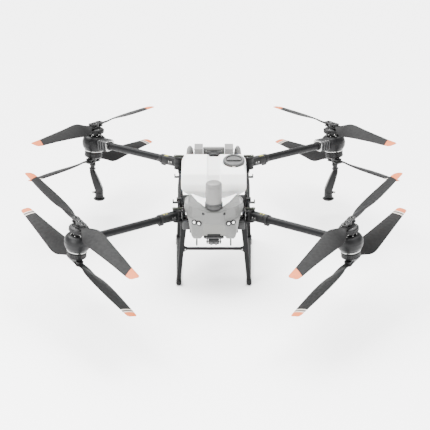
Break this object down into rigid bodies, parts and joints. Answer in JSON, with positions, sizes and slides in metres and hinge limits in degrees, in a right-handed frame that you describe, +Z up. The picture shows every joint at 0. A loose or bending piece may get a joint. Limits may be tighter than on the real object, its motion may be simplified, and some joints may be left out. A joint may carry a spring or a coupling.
{
  "type": "agricultural spray drone",
  "caption": "Folding-arm crop sprayer with stacked pairs of two-blade propellers, lift-out tank and battery, radar dome, skids and spinning-disc nozzles.",
  "frame": {"origin": "middle of the drone on the ground plane under its feet", "axes": "+X to the viewer's right seen from the front, -Y the way the nose faces, +Z up"},
  "size_m": [2.2688, 2.8075, 0.712],
  "materials": {
    "frame_black": "black anodised, satin",
    "carbon_tube": "woven carbon under a satin clear coat",
    "pod_black": "moulded, fine grain",
    "motor_black": "anodised, machined rings",
    "blade_grey": "reinforced nylon with orange tip bands",
    "lever_olive": "cast, satin",
    "tank_white": "blow moulded, milky",
    "cap_grey": "ribbed moulding",
    "shell_grey": "painted, fine orange peel",
    "radar_grey": "smooth radome",
    "ring_grey": "fine grain",
    "lens_glass": "clear",
    "camera_black": "smooth",
    "box_grey": "cast, satin",
    "battery_grey": "fine grain",
    "bay_grey": "fine grain",
    "rubber_black": "matt",
    "gear_black": "glass filled nylon, fine grain",
    "disc_pale": "grooved"
  },
  "bodies": {
    "airframe": {"main_frame": "frame_black", "nose_shell": "shell_grey", "avionics_box": "box_grey", "radar_dome": "radar_grey", "radar_ring": "ring_grey", "headlights": "lens_glass", "vision_cameras": "camera_black", "camera_bracket": "pod_black", "antenna_rods": "rubber_black", "battery_bay": "bay_grey", "position_antennas": "bay_grey", "gear_crossbars": "gear_black", "skid_feet": "rubber_black", "pumps": "motor_black", "landing_gear_left": "gear_black", "landing_gear_right": "gear_black"},
    "tank": {"tank": "tank_white"},
    "tank_cap": {"tank_cap": "cap_grey"},
    "battery": {"battery": "battery_grey"},
    "fpv_camera": {"fpv_camera": "camera_black"},
    "arm_front_left": {"arm_tube_front_left": "carbon_tube", "pod_front_left": "pod_black"},
    "lever_front_left": {"lock_lever_front_left": "lever_olive"},
    "rotor_upper_front_left": {"rotor_upper_front_left": "motor_black"},
    "blade_upper_a_front_left": {"blade_upper_a_front_left": "blade_grey"},
    "blade_upper_b_front_left": {"blade_upper_b_front_left": "blade_grey"},
    "rotor_lower_front_left": {"rotor_lower_front_left": "motor_black"},
    "blade_lower_a_front_left": {"blade_lower_a_front_left": "blade_grey"},
    "blade_lower_b_front_left": {"blade_lower_b_front_left": "blade_grey"},
    "arm_front_right": {"arm_tube_front_right": "carbon_tube", "pod_front_right": "pod_black"},
    "lever_front_right": {"lock_lever_front_right": "lever_olive"},
    "rotor_upper_front_right": {"rotor_upper_front_right": "motor_black"},
    "blade_upper_a_front_right": {"blade_upper_a_front_right": "blade_grey"},
    "blade_upper_b_front_right": {"blade_upper_b_front_right": "blade_grey"},
    "rotor_lower_front_right": {"rotor_lower_front_right": "motor_black"},
    "blade_lower_a_front_right": {"blade_lower_a_front_right": "blade_grey"},
    "blade_lower_b_front_right": {"blade_lower_b_front_right": "blade_grey"},
    "arm_rear_left": {"arm_tube_rear_left": "carbon_tube", "pod_rear_left": "pod_black", "nozzle_arm_left": "pod_black"},
    "lever_rear_left": {"lock_lever_rear_left": "lever_olive"},
    "rotor_upper_rear_left": {"rotor_upper_rear_left": "motor_black"},
    "blade_upper_a_rear_left": {"blade_upper_a_rear_left": "blade_grey"},
    "blade_upper_b_rear_left": {"blade_upper_b_rear_left": "blade_grey"},
    "rotor_lower_rear_left": {"rotor_lower_rear_left": "motor_black"},
    "blade_lower_a_rear_left": {"blade_lower_a_rear_left": "blade_grey"},
    "blade_lower_b_rear_left": {"blade_lower_b_rear_left": "blade_grey"},
    "arm_rear_right": {"arm_tube_rear_right": "carbon_tube", "pod_rear_right": "pod_black", "nozzle_arm_right": "pod_black"},
    "lever_rear_right": {"lock_lever_rear_right": "lever_olive"},
    "rotor_upper_rear_right": {"rotor_upper_rear_right": "motor_black"},
    "blade_upper_a_rear_right": {"blade_upper_a_rear_right": "blade_grey"},
    "blade_upper_b_rear_right": {"blade_upper_b_rear_right": "blade_grey"},
    "rotor_lower_rear_right": {"rotor_lower_rear_right": "motor_black"},
    "blade_lower_a_rear_right": {"blade_lower_a_rear_right": "blade_grey"},
    "blade_lower_b_rear_right": {"blade_lower_b_rear_right": "blade_grey"},
    "disc_left": {"spray_disc_left": "disc_pale"},
    "disc_right": {"spray_disc_right": "disc_pale"}
  },
  "joints": [
    {"name": "tank_lift", "type": "slide", "parent": "airframe", "child": "tank", "axis": [0, 0, 1], "range_m": [0, 0.32]},
    {"name": "cap_turn", "type": "hinge", "parent": "tank", "child": "tank_cap", "pos_m": [0.119, -0.04, 0.678], "axis": [0, -0.2079, 0.9781], "range_deg": [0, 90]},
    {"name": "battery_lift", "type": "slide", "parent": "airframe", "child": "battery", "axis": [0, 0, 1], "range_m": [0, 0.28]},
    {"name": "camera_tilt", "type": "hinge", "parent": "airframe", "child": "fpv_camera", "pos_m": [0, -0.352, 0.298], "axis": [1, 0, 0], "range_deg": [-20, 90]},
    {"name": "fold_front_left", "type": "hinge", "parent": "airframe", "child": "arm_front_left", "pos_m": [-0.215, -0.25, 0.424], "axis": [0, 0, -1], "range_deg": [0, 100]},
    {"name": "lock_front_left", "type": "hinge", "parent": "airframe", "child": "lever_front_left", "pos_m": [-0.233, -0.25, 0.4625], "axis": [0, 0, -1], "range_deg": [0, 80]},
    {"name": "spin_upper_front_left", "type": "hinge", "parent": "arm_front_left", "child": "rotor_upper_front_left", "pos_m": [-0.763, -0.792, 0.484], "axis": [0.1067, -0.0635, 0.9923], "continuous": true},
    {"name": "blade_fold_upper_a_front_left", "type": "hinge", "parent": "rotor_upper_front_left", "child": "blade_upper_a_front_left", "pos_m": [-0.7729, -0.76044, 0.60298], "axis": [0.1067, -0.0635, 0.9923], "range_deg": [-78.4, 0]},
    {"name": "blade_fold_upper_b_front_left", "type": "hinge", "parent": "rotor_upper_front_left", "child": "blade_upper_b_front_left", "pos_m": [-0.72857, -0.83816, 0.59324], "axis": [0.1067, -0.0635, 0.9923], "range_deg": [0, 87.8]},
    {"name": "spin_lower_front_left", "type": "hinge", "parent": "arm_front_left", "child": "rotor_lower_front_left", "pos_m": [-0.763, -0.792, 0.484], "axis": [0.1067, -0.0635, 0.9923], "continuous": true},
    {"name": "blade_fold_lower_a_front_left", "type": "hinge", "parent": "rotor_lower_front_left", "child": "blade_lower_a_front_left", "pos_m": [-0.79764, -0.74571, 0.37277], "axis": [0.1067, -0.0635, 0.9923], "range_deg": [-78.4, 0]},
    {"name": "blade_fold_lower_b_front_left", "type": "hinge", "parent": "rotor_lower_front_left", "child": "blade_lower_b_front_left", "pos_m": [-0.75331, -0.82343, 0.36304], "axis": [0.1067, -0.0635, 0.9923], "range_deg": [0, 87.8]},
    {"name": "fold_front_right", "type": "hinge", "parent": "airframe", "child": "arm_front_right", "pos_m": [0.215, -0.25, 0.424], "axis": [0, 0, 1], "range_deg": [0, 100]},
    {"name": "lock_front_right", "type": "hinge", "parent": "airframe", "child": "lever_front_right", "pos_m": [0.233, -0.25, 0.4625], "axis": [0, 0, 1], "range_deg": [0, 80]},
    {"name": "spin_upper_front_right", "type": "hinge", "parent": "arm_front_right", "child": "rotor_upper_front_right", "pos_m": [0.763, -0.792, 0.484], "axis": [-0.1067, -0.0635, 0.9923], "continuous": true},
    {"name": "blade_fold_upper_a_front_right", "type": "hinge", "parent": "rotor_upper_front_right", "child": "blade_upper_a_front_right", "pos_m": [0.7729, -0.76044, 0.60298], "axis": [-0.1067, -0.0635, 0.9923], "range_deg": [0, 78.4]},
    {"name": "blade_fold_upper_b_front_right", "type": "hinge", "parent": "rotor_upper_front_right", "child": "blade_upper_b_front_right", "pos_m": [0.72857, -0.83816, 0.59324], "axis": [-0.1067, -0.0635, 0.9923], "range_deg": [-87.8, 0]},
    {"name": "spin_lower_front_right", "type": "hinge", "parent": "arm_front_right", "child": "rotor_lower_front_right", "pos_m": [0.763, -0.792, 0.484], "axis": [-0.1067, -0.0635, 0.9923], "continuous": true},
    {"name": "blade_fold_lower_a_front_right", "type": "hinge", "parent": "rotor_lower_front_right", "child": "blade_lower_a_front_right", "pos_m": [0.79764, -0.74571, 0.37277], "axis": [-0.1067, -0.0635, 0.9923], "range_deg": [0, 78.4]},
    {"name": "blade_fold_lower_b_front_right", "type": "hinge", "parent": "rotor_lower_front_right", "child": "blade_lower_b_front_right", "pos_m": [0.75331, -0.82343, 0.36304], "axis": [-0.1067, -0.0635, 0.9923], "range_deg": [-87.8, 0]},
    {"name": "fold_rear_left", "type": "hinge", "parent": "airframe", "child": "arm_rear_left", "pos_m": [-0.215, 0.25, 0.569], "axis": [0, 0, 1], "range_deg": [0, 100]},
    {"name": "lock_rear_left", "type": "hinge", "parent": "airframe", "child": "lever_rear_left", "pos_m": [-0.233, 0.25, 0.6075], "axis": [0, 0, 1], "range_deg": [0, 80]},
    {"name": "spin_upper_rear_left", "type": "hinge", "parent": "arm_rear_left", "child": "rotor_upper_rear_left", "pos_m": [-0.763, 0.792, 0.505], "axis": [0.0894, 0.0805, 0.9927], "continuous": true},
    {"name": "blade_fold_upper_a_rear_left", "type": "hinge", "parent": "rotor_upper_rear_left", "child": "blade_upper_a_rear_left", "pos_m": [-0.77497, 0.76249, 0.62431], "axis": [0.0894, 0.0805, 0.9927], "range_deg": [0, 78.4]},
    {"name": "blade_fold_upper_b_rear_left", "type": "hinge", "parent": "rotor_upper_rear_left", "child": "blade_upper_b_rear_left", "pos_m": [-0.73047, 0.84003, 0.61401], "axis": [0.0894, 0.0805, 0.9927], "range_deg": [-87.8, 0]},
    {"name": "spin_lower_rear_left", "type": "hinge", "parent": "arm_rear_left", "child": "rotor_lower_rear_left", "pos_m": [-0.763, 0.792, 0.505], "axis": [0.0894, 0.0805, 0.9927], "continuous": true},
    {"name": "blade_fold_lower_a_rear_left", "type": "hinge", "parent": "rotor_lower_rear_left", "child": "blade_lower_a_rear_left", "pos_m": [-0.79571, 0.7438, 0.394], "axis": [0.0894, 0.0805, 0.9927], "range_deg": [0, 78.4]},
    {"name": "blade_fold_lower_b_rear_left", "type": "hinge", "parent": "rotor_lower_rear_left", "child": "blade_lower_b_rear_left", "pos_m": [-0.75121, 0.82135, 0.3837], "axis": [0.0894, 0.0805, 0.9927], "range_deg": [-87.8, 0]},
    {"name": "fold_rear_right", "type": "hinge", "parent": "airframe", "child": "arm_rear_right", "pos_m": [0.215, 0.25, 0.569], "axis": [0, 0, -1], "range_deg": [0, 100]},
    {"name": "lock_rear_right", "type": "hinge", "parent": "airframe", "child": "lever_rear_right", "pos_m": [0.233, 0.25, 0.6075], "axis": [0, 0, -1], "range_deg": [0, 80]},
    {"name": "spin_upper_rear_right", "type": "hinge", "parent": "arm_rear_right", "child": "rotor_upper_rear_right", "pos_m": [0.763, 0.792, 0.505], "axis": [-0.0894, 0.0805, 0.9927], "continuous": true},
    {"name": "blade_fold_upper_a_rear_right", "type": "hinge", "parent": "rotor_upper_rear_right", "child": "blade_upper_a_rear_right", "pos_m": [0.77497, 0.76249, 0.62431], "axis": [-0.0894, 0.0805, 0.9927], "range_deg": [-78.4, 0]},
    {"name": "blade_fold_upper_b_rear_right", "type": "hinge", "parent": "rotor_upper_rear_right", "child": "blade_upper_b_rear_right", "pos_m": [0.73047, 0.84003, 0.61401], "axis": [-0.0894, 0.0805, 0.9927], "range_deg": [0, 87.8]},
    {"name": "spin_lower_rear_right", "type": "hinge", "parent": "arm_rear_right", "child": "rotor_lower_rear_right", "pos_m": [0.763, 0.792, 0.505], "axis": [-0.0894, 0.0805, 0.9927], "continuous": true},
    {"name": "blade_fold_lower_a_rear_right", "type": "hinge", "parent": "rotor_lower_rear_right", "child": "blade_lower_a_rear_right", "pos_m": [0.79571, 0.7438, 0.394], "axis": [-0.0894, 0.0805, 0.9927], "range_deg": [-78.4, 0]},
    {"name": "blade_fold_lower_b_rear_right", "type": "hinge", "parent": "rotor_lower_rear_right", "child": "blade_lower_b_rear_right", "pos_m": [0.75121, 0.82135, 0.3837], "axis": [-0.0894, 0.0805, 0.9927], "range_deg": [0, 87.8]},
    {"name": "disc_spin_left", "type": "hinge", "parent": "arm_rear_left", "child": "disc_left", "pos_m": [-0.739, 0.778, 0.117], "axis": [0, 0, 1], "continuous": true},
    {"name": "disc_spin_right", "type": "hinge", "parent": "arm_rear_right", "child": "disc_right", "pos_m": [0.739, 0.778, 0.117], "axis": [0, 0, 1], "continuous": true}
  ],
  "couplings": [
    {"joint": "blade_fold_upper_a_front_left", "follows": "fold_front_left", "ratio": -0.783},
    {"joint": "blade_fold_upper_b_front_left", "follows": "fold_front_left", "ratio": 0.877},
    {"joint": "blade_fold_lower_a_front_left", "follows": "fold_front_left", "ratio": -0.783},
    {"joint": "blade_fold_lower_b_front_left", "follows": "fold_front_left", "ratio": 0.877},
    {"joint": "blade_fold_upper_a_front_right", "follows": "fold_front_right", "ratio": 0.783},
    {"joint": "blade_fold_upper_b_front_right", "follows": "fold_front_right", "ratio": -0.877},
    {"joint": "blade_fold_lower_a_front_right", "follows": "fold_front_right", "ratio": 0.783},
    {"joint": "blade_fold_lower_b_front_right", "follows": "fold_front_right", "ratio": -0.877},
    {"joint": "blade_fold_upper_a_rear_left", "follows": "fold_rear_left", "ratio": 0.783},
    {"joint": "blade_fold_upper_b_rear_left", "follows": "fold_rear_left", "ratio": -0.877},
    {"joint": "blade_fold_lower_a_rear_left", "follows": "fold_rear_left", "ratio": 0.783},
    {"joint": "blade_fold_lower_b_rear_left", "follows": "fold_rear_left", "ratio": -0.877},
    {"joint": "blade_fold_upper_a_rear_right", "follows": "fold_rear_right", "ratio": -0.783},
    {"joint": "blade_fold_upper_b_rear_right", "follows": "fold_rear_right", "ratio": 0.877},
    {"joint": "blade_fold_lower_a_rear_right", "follows": "fold_rear_right", "ratio": -0.783},
    {"joint": "blade_fold_lower_b_rear_right", "follows": "fold_rear_right", "ratio": 0.877}
  ]
}
